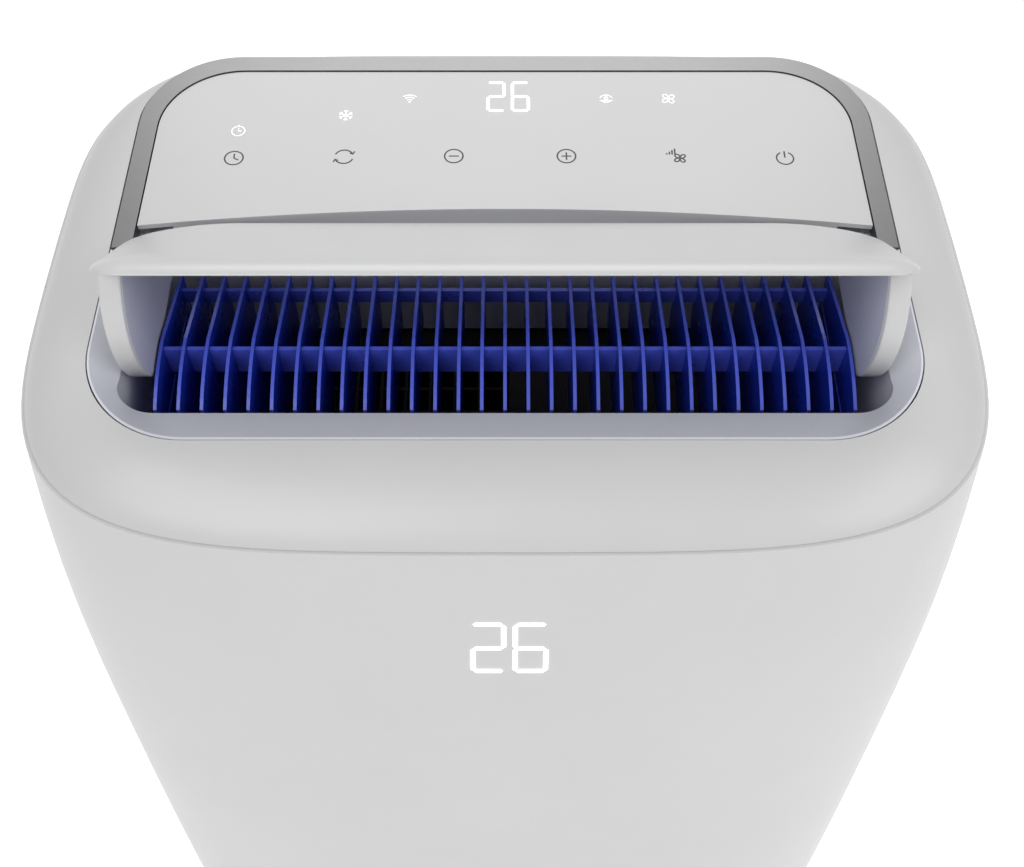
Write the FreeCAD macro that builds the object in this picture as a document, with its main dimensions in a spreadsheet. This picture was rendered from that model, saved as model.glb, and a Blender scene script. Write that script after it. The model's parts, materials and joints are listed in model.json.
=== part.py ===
import FreeCAD, Part
import math
import os
import re
import Sketcher
from FreeCAD import Placement, Rotation, Vector

# A portable air conditioner on four casters, front towards -Y, standing on z = 0.
# Lengths are millimetres.  Pieces of the top well are drawn in the top's own frame:
# x across, y up the slope from the front of the opening, z square to the top surface.

SIZES = """
top_slope 10            | tilt of the top surface, rising to the back, degrees
top_y -138.5            | where the top frame stands
top_z 721.9
seam_drop 18            | the cover's lower edge, below the top surface
wall 3                  | shells and covers
seam_inset 1.2          | the cover's edge stands in from the shell's
gap 0.5                 | between neighbouring mouldings
shell_low 42            | lower rim of the shells
shell_high 790
shell_power 4.2         | how square the plan outline is
half_wide 233.5         | widest, at the barrel's middle
front_y -198.5
rear_y 166.5
part_y -40              | where front and rear shell meet
open_half 191.5         | opening in the cover
open_front -3.2
open_rear 242
open_corner 50
panel_half 180.5
panel_rear 230
panel_front 131.5
panel_arc 1500          | the panel's front edge is a shallow arc
panel_corner 41
panel_thick 3
apron_low 12
trim_front 106
trim_deep 7
bevel_half 179.5        | inner edge of the bevelled ring
bevel_front 20.5
lip_thick 2
lip_reach 5.5           | the well's front wall stands back under the bevel's edge
bevel_drop 15
well_rear 127
well_deep 92
well_wall 3
flap_half 176
flap_front 12
flap_rear 120.4
flap_thick 5.6
flap_corner_front 16
flap_corner_rear 46
flap_open 37.5          | the flap stands open at rest, degrees
flap_axis_t 121
flap_axis_n -16
cheek_thick 10
cheek_inset 0
cheek_arc_t 78.3
cheek_arc_n -21.1
cheek_arc 47.5
pin_radius 3
pin_play 0.05
boss_radius 7
boss_long 6
vane_count 31
vane_pitch 10.9
vane_thick 1.6
vane_front_t 28
vane_rear_t 112
vane_front_n -24
vane_mid_t 64
vane_mid_n -16.6
vane_bow_t 45
vane_facets 8
vane_bow_n -18.2
vane_rear_n -27.5
vane_low_n -60
rib_high 9
rib_main_t 59
rib_main_n -19
rib_main_high 18
rib_thick 2
swing_t 66
swing_n -76
swing_end_half 164.8
swing_end_thick 2.4
guard_bar 1.6
guard_deep 3
guard_n -96
guard_cells 12
baffle_thick 2.5
duct_half 160
duct_front 26
duct_rear 118
duct_wall 2.5
neck_left -68
neck_right 82
neck_top 600
board_thick 1.6
board_half 150
board_front 150
board_rear 213
display_wide 60
display_high 42
display_thick 6
display_z 635
base_thick 3
base_rim 22
base_corner 72
caster_x 168
caster_front_y -120
caster_rear_y 98
wheel_radius 20
wheel_thick 17
wheel_bore 3.05
axle_radius 3
fork_wall 3
fork_gap 1.2
fork_trail 14
stem_radius 5
stem_play 0.05
plate_radius 24
plate_thick 3
socket_high 12
comp_x -118
comp_y -62
comp_radius 56
comp_high 196
comp_base_z 66
comp_foot 74
comp_foot_thick 4
mount_radius 11
mount_high 17
accu_radius 20
accu_high 120
cond_half 172
cond_front_y 82
cond_thick 44
cond_high 262
cond_z 64
fin_gap 12
fin_thick 1.2
tube_radius 4.5
partition_z 342
partition_thick 3
partition_rim 12
tray_high 15
evap_half 172
evap_front_y 82
evap_thick 36
evap_high 226
evap_z 366
low_fan_x 84
low_fan_z 206
low_fan_front_y -128
low_scroll_radius 112
low_scroll_deep 96
low_wheel_radius 84
low_wheel_deep 78
up_fan_x -40
up_fan_z 478
up_fan_front_y -98
up_scroll_radius 122
up_scroll_deep 110
up_wheel_radius 92
up_wheel_deep 88
scroll_wall 2.5
blade_count 28
blade_thick 1.6
blade_deep 14
hub_radius 12
shaft_radius 4
motor_radius 38
motor_long 44
pipe_radius 4
suction_x -197
capillary_x 187
capillary_radius 1.6
control_wide 96
control_deep 40
control_high 128
control_x 92
control_y -150
control_z 378
cap_radius 19
cap_high 78
collar_radius 75
collar_inner 72
collar_long 56
collar_inside 24        | how far the collar reaches into the casing
collar_x 84
collar_z 206
collar_flange 78.5
collar_stop 82
grille_half 150
grille_step 1
grille_thick 4
grille_rim 12
slat_pitch 12
slat_high 4.5
filter_thick 4
up_grille_z 372
up_grille_high 216
low_grille_z 70
low_grille_high 96
low_grille_half 96
low_grille_x -92
handle_z 596
handle_y 30
handle_long 112
handle_high 38
handle_deep 24
handle_wall 2.5
drain_radius 8
drain_bore 5.5
drain_long 42
drain_inside 22
drain_x 110
up_drain_z 352
low_drain_z 64
plug_radius 5.2
plug_head 7.4
gland_x -140
gland_z 200
gland_radius 10
gland_bore 4
flap_motor_radius 14
flap_motor_long 16
float_radius 9
float_high 22
screw_radius 2
screw_head 3.6
"""

MATHS = ("cos", "sin", "tan")

doc = FreeCAD.newDocument("portable_air_conditioner")
dims = doc.addObject("Spreadsheet::Sheet", "Dims")
kept = []
casings = {}


def fill_sheet():
    rows = [line.split("|")[0].split() for line in SIZES.strip().splitlines()]
    for row, (name, value) in enumerate(rows, start=1):
        dims.set("A%d" % row, name)
        dims.set("B%d" % row, value)
        dims.setAlias("B%d" % row, name)
    doc.recompute()


def size(name):
    return float(getattr(dims, name))


def tied(value):
    """Expression text in which each word of the sheet is named as its cell."""
    return re.sub(r"[a-z]\w*", lambda word: word.group() if word.group() in MATHS else "Dims." + word.group(),
                  str(value))


def bind(thing, prop, value):
    thing.setExpression(prop, tied(value))


def evaluate(value):
    return float(dims.evalExpression(tied(value)))


def place(thing, at, prefix="Placement"):
    for letter, value in zip("xyz", at):
        bind(thing, "%s.Base.%s" % (prefix, letter), value)


def turn(thing, axis, angle):
    thing.Placement = Placement(thing.Placement.Base, Rotation(Vector(*axis), 90))
    bind(thing, "Placement.Rotation.Angle", angle)


def keep(thing, label):
    thing.Label = label
    kept.append(thing)
    return thing


def on_top(thing):
    """Carry a piece from the top's frame into the unit's frame."""
    thing.Placement = Placement(Vector(0, 0, 0), Rotation(Vector(1, 0, 0), 5))
    place(thing, (0, "top_y", "top_z"))
    bind(thing, "Placement.Rotation.Angle", "top_slope")


def block(at, wide, deep, high):
    thing = doc.addObject("Part::Box", "block")
    bind(thing, "Length", wide)
    bind(thing, "Width", deep)
    bind(thing, "Height", high)
    place(thing, at)
    return thing


def rod(at, radius, long, axis="z"):
    thing = doc.addObject("Part::Cylinder", "rod")
    bind(thing, "Radius", radius)
    bind(thing, "Height", long)
    if axis == "x":
        thing.Placement = Placement(Vector(0, 0, 0), Rotation(Vector(0, 1, 0), 90))
    if axis == "y":
        thing.Placement = Placement(Vector(0, 0, 0), Rotation(Vector(1, 0, 0), -90))
    place(thing, at)
    return thing


def cut(base, *tools):
    tool = tools[0] if len(tools) == 1 else fuse(*tools)
    thing = doc.addObject("Part::Cut", "cut")
    thing.Base = base
    thing.Tool = tool
    return thing


def fuse(*shapes):
    thing = doc.addObject("Part::MultiFuse", "fuse")
    thing.Shapes = list(shapes)
    return thing


def group(*shapes):
    thing = doc.addObject("Part::Compound", "group")
    thing.Links = list(shapes)
    return thing


def shaped(shape, label=None):
    thing = doc.addObject("Part::Feature", "shaped")
    thing.Shape = shape
    if label:
        keep(thing, label)
    return thing


def new_body(label):
    return keep(doc.addObject("PartDesign::Body", label), label)


def origin_plane(body, role):
    return [o for o in body.Origin.OriginFeatures if o.Role == role][0]


def sketch_on(body, name, role, offset=0):
    sketch = body.newObject("Sketcher::SketchObject", name)
    sketch.AttachmentSupport = (origin_plane(body, role), "")
    sketch.MapMode = "FlatFace"
    bind(sketch, "AttachmentOffset.Base.z", offset)
    return sketch


def draw_loop(sketch, points):
    """Closed straight-sided loop whose corners are tied to the sheet."""
    count = len(points)
    values = [[evaluate(u), evaluate(v)] for u, v in points]
    for i in range(count):
        start = Vector(values[i][0], values[i][1], 0)
        end = Vector(values[(i + 1) % count][0], values[(i + 1) % count][1], 0)
        sketch.addGeometry(Part.LineSegment(start, end), False)
    for i in range(count):
        sketch.addConstraint(Sketcher.Constraint("Coincident", i, 2, (i + 1) % count, 1))
    for i, (u, v) in enumerate(points):
        tie = sketch.addConstraint(Sketcher.Constraint("DistanceX", -1, 1, i, 1, values[i][0]))
        bind(sketch, "Constraints[%d]" % tie, u)
        tie = sketch.addConstraint(Sketcher.Constraint("DistanceY", -1, 1, i, 1, values[i][1]))
        bind(sketch, "Constraints[%d]" % tie, v)


def draw_ring(sketch, centre, *radii):
    middle = Vector(evaluate(centre[0]), evaluate(centre[1]), 0)
    for radius in radii:
        circle = sketch.addGeometry(Part.Circle(middle, Vector(0, 0, 1), evaluate(radius)), False)
        for kind, value in (("DistanceX", centre[0]), ("DistanceY", centre[1])):
            tie = sketch.addConstraint(Sketcher.Constraint(kind, -1, 1, circle, 3, evaluate(value)))
            bind(sketch, "Constraints[%d]" % tie, value)
        tie = sketch.addConstraint(Sketcher.Constraint("Radius", circle, evaluate(radius)))
        bind(sketch, "Constraints[%d]" % tie, radius)


def pad(body, sketch, long, reverse=False, middle=False):
    feature = body.newObject("PartDesign::Pad", "pad")
    feature.Profile = sketch
    bind(feature, "Length", long)
    feature.Reversed = reverse
    feature.Midplane = middle
    return feature


def round_corners(body, radius, reach):
    """Fillet the square upright corners that stand this far out to either side."""
    doc.recompute()
    names = []
    for number, edge in enumerate(body.Shape.Edges, start=1):
        if not isinstance(edge.Curve, Part.Line):
            continue
        ends = [corner.Point for corner in edge.Vertexes]
        upright = abs(ends[0].x - ends[1].x) < 0.001 and abs(ends[0].y - ends[1].y) < 0.001
        sides = body.Shape.ancestorsOfType(edge, Part.Face)
        square = all(isinstance(face.Surface, Part.Plane) for face in sides)
        if upright and square and abs(abs(ends[0].x) - evaluate(reach)) < 0.01:
            names.append("Edge%d" % number)
    before = body.Tip
    feature = body.newObject("PartDesign::Fillet", "rounded")
    feature.Base = (before, names)
    bind(feature, "Radius", radius)
    doc.recompute()


def revolve(body, points):
    """Turned piece: the profile is radius against height, spun about the body's Z."""
    sketch = sketch_on(body, "profile", "XZ_Plane")
    draw_loop(sketch, points)
    feature = body.newObject("PartDesign::Revolution", "turned")
    feature.Profile = sketch
    feature.ReferenceAxis = (sketch, ["V_Axis"])
    feature.Angle = 360
    return feature


fill_sheet()


# ---- shells and cover -------------------------------------------------------

def plan_outline(height, front, rear, half, power, inset=0, count=64):
    """One closed level line of the casing: a squared oval, fuller in the middle."""
    middle = (front + rear) / 2
    deep = (rear - front) / 2 - inset
    wide = half - inset
    points = []
    for i in range(count):
        angle = 2 * math.pi * (i + 0.5) / count
        x = wide * math.copysign(abs(math.cos(angle)) ** (2 / power), math.cos(angle))
        y = middle + deep * math.copysign(abs(math.sin(angle)) ** (2 / power), math.sin(angle))
        points.append(Vector(x, y, height))
    curve = Part.BSplineCurve()
    curve.interpolate(points, PeriodicFlag=True)
    return Part.Wire([curve.toShape()])


def casing_levels():
    """Height, front, rear and half width: a gentle barrel with a rounded back shoulder."""
    front = size("front_y")
    rear = size("rear_y")
    half = size("half_wide")
    return (
        (size("shell_low"), front + 12, rear - 5, half - 11),
        (215, front + 4, rear - 1, half - 5),
        (390, front, rear, half - 1.5),
        (540, front + 1, rear, half),
        (630, front + 5, rear - 3, half - 1),
        (690, front + 13, rear - 17, half - 4),
        (730, front + 21, rear - 36, half - 7.5),
        (762, front + 29, rear - 58, half - 12),
        (size("shell_high"), front + 38, rear - 84, half - 18),
    )


def casing(inset):
    """Solid inside the casing's surface, drawn in by an inset; each is lofted once."""
    if inset not in casings:
        power = size("shell_power")
        wires = [plan_outline(z, f, r, h, power, inset) for z, f, r, h in casing_levels()]
        casings[inset] = Part.makeLoft(wires, True, False)
    return casings[inset]


def top_frame():
    return Placement(Vector(0, size("top_y"), size("top_z")), Rotation(Vector(1, 0, 0), size("top_slope")))


def slab(low, high, reach=900):
    """Everything between two heights of the top's frame."""
    shape = Part.makeBox(reach, reach, high - low, Vector(-reach / 2, -reach / 2, low))
    shape.Placement = top_frame()
    return shape


def rounded_face(half, front, rear, corner_front, corner_rear, height, arc=0):
    """Rounded rectangle across the top's frame; arc bows the front edge."""
    sag = arc - math.sqrt(arc * arc - half * half) if arc else 0
    a, b = corner_front, corner_rear
    k = math.sqrt(0.5)
    lines = []
    lines.append(Part.LineSegment(Vector(half, front - sag + a, height), Vector(half, rear - b, height)))
    lines.append(Part.Arc(Vector(half, rear - b, height), Vector(half - b + b * k, rear - b + b * k, height),
                          Vector(half - b, rear, height)))
    lines.append(Part.LineSegment(Vector(half - b, rear, height), Vector(b - half, rear, height)))
    lines.append(Part.Arc(Vector(b - half, rear, height), Vector(b - half - b * k, rear - b + b * k, height),
                          Vector(-half, rear - b, height)))
    lines.append(Part.LineSegment(Vector(-half, rear - b, height), Vector(-half, front - sag + a, height)))
    low = front - sag
    if a:
        lines.append(Part.Arc(Vector(-half, low + a, height), Vector(a - half - a * k, low + a - a * k, height),
                              Vector(a - half, low, height)))
    if arc:
        lines.append(Part.Arc(Vector(a - half, low, height), Vector(0, front, height), Vector(half - a, low, height)))
    else:
        lines.append(Part.LineSegment(Vector(a - half, low, height), Vector(half - a, low, height)))
    if a:
        lines.append(Part.Arc(Vector(half - a, low, height), Vector(half - a + a * k, low + a - a * k, height),
                              Vector(half, low + a, height)))
    return Part.Wire([line.toShape() for line in lines])


def rounded_block(half, front, rear, corner_front, corner_rear, low, high, arc=0):
    face = Part.Face(rounded_face(half, front, rear, corner_front, corner_rear, low, arc))
    return face.extrude(Vector(0, 0, high - low))


def ring_points(wire, centre, count):
    """Points of a closed line at even bearings about a centre, in the top's frame."""
    dense = wire.discretize(2400)
    bearings = [math.atan2(p.y - centre.y, p.x - centre.x) for p in dense]
    points = []
    for i in range(count):
        wanted = -math.pi + 2 * math.pi * (i + 0.5) / count
        best = min(range(len(dense)), key=lambda j: abs(bearings[j] - wanted))
        points.append(dense[best])
    return points


def pillow(inset, sink):
    """Solid under the cover's crowned surface, from the seam outline to the opening."""
    count = 72
    drop = size("seam_drop")
    centre = Vector(0, 118, 0)
    outer = casing(inset).slice(Vector(0, -math.sin(math.radians(size("top_slope"))),
                                       math.cos(math.radians(size("top_slope")))), seam_distance(drop + sink))[0]
    outer.Placement = top_frame().inverse()
    seam = ring_points(outer, centre, count)
    rim = ring_points(rounded_face(size("open_half") - 4, size("open_front") + 4, size("open_rear") - 4,
                                   size("open_corner"), size("open_corner"), 0), centre, count)
    wires = []
    for step in (0, 0.12, 0.3, 0.52, 0.76, 1):
        lift = math.sin(step * math.pi / 2) ** 0.72
        level = -(drop + sink) * (1 - lift) - sink * lift
        points = []
        for low, high in zip(seam, rim):
            points.append(Vector(low.x + (high.x - low.x) * step, low.y + (high.y - low.y) * step, level))
        curve = Part.BSplineCurve()
        curve.interpolate(points, PeriodicFlag=True)
        wires.append(Part.Wire([curve.toShape()]))
    return Part.makeLoft(wires, True, False)


def seam_distance(drop):
    slope = math.radians(size("top_slope"))
    return -size("top_y") * math.sin(slope) + size("top_z") * math.cos(slope) - drop


def build_casing():
    wall = size("wall")
    drop = size("seam_drop")
    hollow = casing(0).cut(casing(wall))
    below = hollow.cut(slab(-drop - size("gap") * 0.8, 300))
    reach = 600
    cutter = Part.makeBox(reach, reach, 1000, Vector(-reach / 2, size("part_y") - reach - size("gap") / 2, 0))
    front = below.common(cutter)
    rear = below.cut(Part.makeBox(reach, reach, 1000, Vector(-reach / 2, size("part_y") - reach + size("gap") / 2, 0)))
    for hole in rear_holes():
        rear = rear.cut(hole)
    shaped(front, "front_shell")
    shaped(rear, "rear_shell")
    step = size("seam_inset")
    cover = pillow(step, 0).cut(pillow(step + wall, wall))
    hole = rounded_block(size("open_half"), size("open_front"), size("open_rear"), size("open_corner"),
                         size("open_corner"), -40, 40)
    cover = cover.cut(hole)
    piece = shaped(cover, "top_cover")
    on_top(piece)


def rear_holes():
    gap = size("gap")
    deep = 110
    y = size("rear_y") - 70
    holes = []
    holes.append(Part.makeBox(2 * size("grille_half") + 2 * gap, deep, size("up_grille_high") + 2 * gap,
                              Vector(-size("grille_half") - gap, y, size("up_grille_z") - gap)))
    holes.append(Part.makeBox(2 * size("low_grille_half") + 2 * gap, deep, size("low_grille_high") + 2 * gap,
                              Vector(size("low_grille_x") - size("low_grille_half") - gap, y,
                                     size("low_grille_z") - gap)))
    holes.append(Part.makeCylinder(size("collar_radius") + gap, deep,
                                   Vector(size("collar_x"), y, size("collar_z")), Vector(0, 1, 0)))
    for z in (size("up_drain_z"), size("low_drain_z")):
        holes.append(Part.makeCylinder(size("drain_radius") + gap, deep,
                                       Vector(size("drain_x"), y, z), Vector(0, 1, 0)))
    holes.append(Part.makeCylinder(size("gland_radius") + gap, deep,
                                   Vector(size("gland_x"), y, size("gland_z")), Vector(0, 1, 0)))
    for side in (-1, 1):
        holes.append(Part.makeBox(80, size("handle_long") + 2 * gap, size("handle_high") + 2 * gap,
                                  Vector(side * 225 - 40, size("handle_y") - gap - size("handle_long") / 2,
                                         size("handle_z") - gap)))
    return holes


# ---- the well under the flap ---------------------------------------------------

def build_outlet_frame():
    """Bevelled ring and the well's walls in one moulding, with the bores for flap and grille pins."""
    gap = size("gap")
    wall = size("well_wall")
    bevel = size("bevel_half")
    front = size("bevel_front")
    drop = size("bevel_drop")
    deep = size("well_deep")
    rear = size("well_rear")
    side = bevel + wall
    lip = rounded_block(size("open_half") - gap, size("open_front") + gap, size("open_rear") - gap,
                        size("open_corner"), size("open_corner"), -drop - wall, -gap)
    mouth = Part.makeLoft([rounded_face(size("open_half") - 1, size("open_front") + 1, rear + 90,
                                        size("open_corner"), 8, 0),
                           rounded_face(bevel, front, rear + 90, 20, 8, -drop)], True, True)
    low_front = front - size("lip_reach")
    lip_low = -drop - size("lip_thick")
    throat = rounded_block(bevel, front, rear, 16, 4, lip_low, 0).fuse(
        rounded_block(bevel, low_front, rear, 16, 4, -deep - 10, lip_low))
    box = rounded_block(side, low_front - wall, rear + wall, 18, 6, -deep, -drop)
    behind = rounded_block(size("open_half") - gap, rear, size("open_rear") - gap, 1, size("open_corner") - gap,
                           -drop - wall, -drop - 0.2)
    shelf = rounded_block(size("open_half") - gap, rear + 9, size("open_rear") - gap, 1, size("open_corner") - gap,
                          -drop - wall, -size("trim_deep") - 1)
    hollow = rounded_block(size("panel_half") - 8, rear + 13, size("panel_rear"), 4, 30, -40, -size("trim_deep") - 4)
    recess = rounded_block(size("open_half"), size("trim_front") - gap, size("open_rear"), 0, size("open_corner"),
                           -size("trim_deep") - gap / 2, 10)
    body = lip.cut(mouth).cut(recess).fuse([behind, shelf, box]).cut(hollow)
    for t, n in ((size("flap_axis_t"), size("flap_axis_n")), (size("swing_t"), size("swing_n"))):
        boss = Part.makeCylinder(size("boss_radius"), 2 * (side + size("boss_long")),
                                 Vector(-side - size("boss_long"), t, n), Vector(1, 0, 0))
        body = body.fuse(boss)
    body = body.cut(throat)
    for t, n in ((size("flap_axis_t"), size("flap_axis_n")), (size("swing_t"), size("swing_n"))):
        body = body.cut(Part.makeCylinder(size("pin_radius") + size("pin_play"), 500, Vector(-250, t, n),
                                          Vector(1, 0, 0)))
    on_top(shaped(body, "outlet_frame"))


def build_trim():
    gap = size("gap")
    high = size("gap")
    outer = rounded_block(size("open_half") - 2 * gap, size("trim_front"), size("open_rear") - 2 * gap, 0,
                          size("open_corner") - 2 * gap, -size("trim_deep"), high)
    inner = rounded_block(size("panel_half") + gap, 0, size("panel_rear") + gap, 0, size("panel_corner") + gap,
                          -40, 40)
    on_top(shaped(outer.cut(inner), "trim_bezel"))


def build_panel():
    """Flat touch plate with a low apron under its arched front edge, clear of the flap's cheeks."""
    thick = size("panel_thick")
    half = size("panel_half")
    arc = size("panel_arc")
    front = size("panel_front")
    corner = size("panel_corner")
    plate = rounded_block(half, front, size("panel_rear"), 0, corner, -thick, -0.2, arc)
    clear = size("flap_half") - size("cheek_inset") - size("cheek_thick") - 2
    apron = rounded_block(half, front, size("panel_rear"), 0, corner, -size("apron_low"), -thick, arc)
    apron = apron.cut(rounded_block(half + 1, front + thick, size("panel_rear") + 40, 0, corner, -40, 0, arc))
    apron = apron.common(Part.makeBox(2 * clear, 400, 60, Vector(-clear, 0, -40)))
    on_top(shaped(plate.fuse(apron), "control_panel"))


def flap_turn(angle):
    centre = Vector(0, size("flap_axis_t"), size("flap_axis_n"))
    return Placement(Vector(0, 0, 0), Rotation(Vector(1, 0, 0), angle), centre)


def cheek_arc_point(x, bearing):
    """A point of the cheek's round front edge, by its bearing from the arc's centre."""
    angle = math.radians(bearing)
    return Vector(x, size("cheek_arc_t") + size("cheek_arc") * math.cos(angle),
                  size("cheek_arc_n") + size("cheek_arc") * math.sin(angle))


def build_flap():
    """Drawn closed, then swung open about its hinge line."""
    thick = size("flap_thick")
    plate = rounded_block(size("flap_half"), size("flap_front"), size("flap_rear"), size("flap_corner_front"),
                          size("flap_corner_rear"), -thick - 0.6, -0.6)
    beyond = rounded_block(400, size("flap_rear"), size("flap_rear") + 80, 0, 1, -30, 30, size("panel_arc"))
    plate = plate.cut(beyond)
    shapes = [plate]
    pin_top = size("flap_axis_t")
    low = size("flap_axis_n")
    for side in (-1, 1):
        outer = size("flap_half") - size("cheek_inset")
        inner = outer - size("cheek_thick")
        bow = [cheek_arc_point(side * inner, angle) for angle in (162, 208, 255)]
        corners = ((116, -24.5), (121, -23), (125.5, -16), (121, -12), (104, -9.5), (88, -5), (36, -5))
        edge = [bow[2]] + [Vector(side * inner, t, n) for t, n in corners] + [bow[0]]
        lines = [Part.Arc(*bow).toShape()]
        lines += [Part.LineSegment(edge[i], edge[i + 1]).toShape() for i in range(len(edge) - 1)]
        cheek = Part.Face(Part.Wire(lines)).extrude(Vector(side * (outer - inner), 0, 0))
        pin = Part.makeCylinder(size("pin_radius"), outer - inner + 8, Vector(side * inner, pin_top, low),
                                Vector(side, 0, 0))
        shapes += [cheek, pin]
    flap = shapes[0].fuse(shapes[1:])
    flap.Placement = flap_turn(-size("flap_open"))
    on_top(shaped(Part.makeCompound([flap]), "air_flap"))


def vane_profile(x):
    """Upright blade: its top edge is an arc over the front half, then a straight fall to the back."""
    front = Vector(x, size("vane_front_t"), size("vane_front_n"))
    bow = Vector(x, size("vane_bow_t"), size("vane_bow_n"))
    middle = Vector(x, size("vane_mid_t"), size("vane_mid_n"))
    crest = Part.Arc(front, bow, middle).toShape().discretize(int(size("vane_facets")))
    corners = [Vector(x, point.y, point.z) for point in crest]
    corners.append(Vector(x, size("vane_rear_t"), size("vane_rear_n")))
    corners.append(Vector(x, size("vane_rear_t") - 6, size("vane_low_n")))
    corners.append(Vector(x, size("vane_front_t") + 4, size("vane_low_n")))
    return Part.Face(Part.makePolygon(corners + corners[:1]))


def build_swing_grille():
    """One moulding: upright vanes, cross ribs, two end cheeks and the pins it rocks on."""
    count = int(size("vane_count"))
    thick = size("vane_thick")
    half = size("swing_end_half")
    first = -(count - 1) / 2 * size("vane_pitch")
    pieces = []
    for i in range(count):
        x = first + i * size("vane_pitch") - thick / 2
        pieces.append(vane_profile(x).extrude(Vector(thick, 0, 0)))
    ribs = ((size("rib_main_t"), size("rib_main_n"), size("rib_main_high")),
            (size("vane_rear_t") - 8, size("vane_rear_n") - 3, size("rib_high")),
            (size("vane_front_t") + 9, size("vane_low_n") + 12, size("rib_high")))
    for t, n, high in ribs:
        pieces.append(Part.makeBox(2 * half, size("rib_thick"), high, Vector(-half, t, n - high)))
    for side in (-1, 1):
        start = side * half
        arm = Part.makePolygon([Vector(start, p, q) for p, q in (
            (size("vane_front_t") + 4, size("vane_low_n") + 18), (size("vane_rear_t") - 6, size("vane_low_n") + 18),
            (size("swing_t") + 8, size("swing_n") - 5), (size("swing_t") - 8, size("swing_n") - 5),
            (size("vane_front_t") + 4, size("vane_low_n") + 18))])
        pieces.append(Part.Face(arm).extrude(Vector(-side * size("swing_end_thick"), 0, 0)))
        long = size("bevel_half") - half + size("well_wall") + 4
        pieces.append(Part.makeCylinder(size("pin_radius"), long + 1, Vector(start - side, size("swing_t"),
                                        size("swing_n")), Vector(side, 0, 0)))
    body = pieces[0].multiFuse(pieces[1:])
    on_top(shaped(body.Solids[0] if len(body.Solids) == 1 else body, "swing_grille"))


def build_guard():
    """Fixed wire guard over the left half of the duct and a plain plate over the right."""
    half = size("duct_half")
    front = size("duct_front")
    rear = size("duct_rear")
    bar = size("guard_bar")
    gap = size("gap")
    low = size("guard_n")
    cells = int(size("guard_cells"))
    bars = []
    for i in range(cells + 1):
        x = -half + gap + i * (half - gap - bar) / cells
        bars.append(block((x, front + gap, low), "guard_bar", "duct_rear - duct_front - 2 * gap", "guard_deep"))
    rows = 6
    for i in range(rows + 1):
        y = front + gap + i * (rear - front - bar - 2 * gap) / rows
        bars.append(block(("-duct_half + gap", y, low), "duct_half - gap", "guard_bar", "guard_deep"))
    guard = keep(fuse(*bars), "outlet_guard")
    on_top(guard)
    plate = block((2, "duct_front + gap", low), "duct_half - 2 - gap", "duct_rear - duct_front - 2 * gap",
                  "baffle_thick")
    rib = block((2, "duct_front + 4", low - 12), "baffle_thick", "duct_rear - duct_front - 8", 12)
    on_top(keep(fuse(plate, rib), "duct_baffle"))
    build_duct(low)


def level_box(half_low, half_high, front, rear, height):
    return Part.makePolygon([Vector(x, y, height) for x, y in (
        (half_low, front), (half_high, front), (half_high, rear), (half_low, rear), (half_low, front))])


def build_duct(low):
    """Hood that widens from the blower's neck to the whole width of the well."""
    wall = size("duct_wall")
    half = size("duct_half")
    front = size("duct_front")
    rear = size("duct_rear")
    side = size("bevel_half") + size("well_wall")
    frame = top_frame()
    neck_low = size("neck_left") - size("gap")
    neck_high = size("neck_right") + size("gap")
    neck_front = size("up_fan_front_y") - size("gap")
    neck_rear = neck_front + size("up_scroll_deep") + 2 * size("gap")
    hoods = []
    for out in (wall, 0):
        top = level_box(-half - out, half + out, front - out, rear + out, low - 1)
        top.Placement = frame
        bottom = level_box(neck_low - out, neck_high + out, neck_front - out, neck_rear + out, size("neck_top") + 0.3)
        hoods.append(Part.makeLoft([bottom, top], True, True))
    hood = hoods[0].cut(hoods[1])
    flange_front = size("bevel_front") - size("lip_reach") - size("well_wall")
    flange = Part.makeBox(2 * side, size("well_rear") + size("well_wall") - flange_front, 2,
                          Vector(-side, flange_front, low - 1))
    flange = flange.cut(Part.makeBox(2 * half, rear - front, 8, Vector(-half, front, low - 4)))
    flange.Placement = frame
    shaped(hood.fuse(flange), "outlet_duct")


def build_electronics():
    board = new_body("panel_board")
    sketch = sketch_on(board, "board", "XY_Plane", "-panel_thick - 5")
    draw_loop(sketch, (("-board_half", "board_front"), ("board_half", "board_front"), ("board_half", "board_rear"),
                       ("-board_half", "board_rear")))
    pad(board, sketch, "board_thick")
    on_top(board)
    window = new_body("front_display")
    sketch = sketch_on(window, "window", "XZ_Plane")
    draw_loop(sketch, (("-display_wide / 2", "display_z - display_high / 2"),
                       ("display_wide / 2", "display_z - display_high / 2"),
                       ("display_wide / 2", "display_z + display_high / 2"),
                       ("-display_wide / 2", "display_z + display_high / 2")))
    pad(window, sketch, "display_thick", reverse=True)
    bind(window, "Placement.Base.y", "front_y + wall + 12.5")


# ---- chassis -----------------------------------------------------------------

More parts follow.
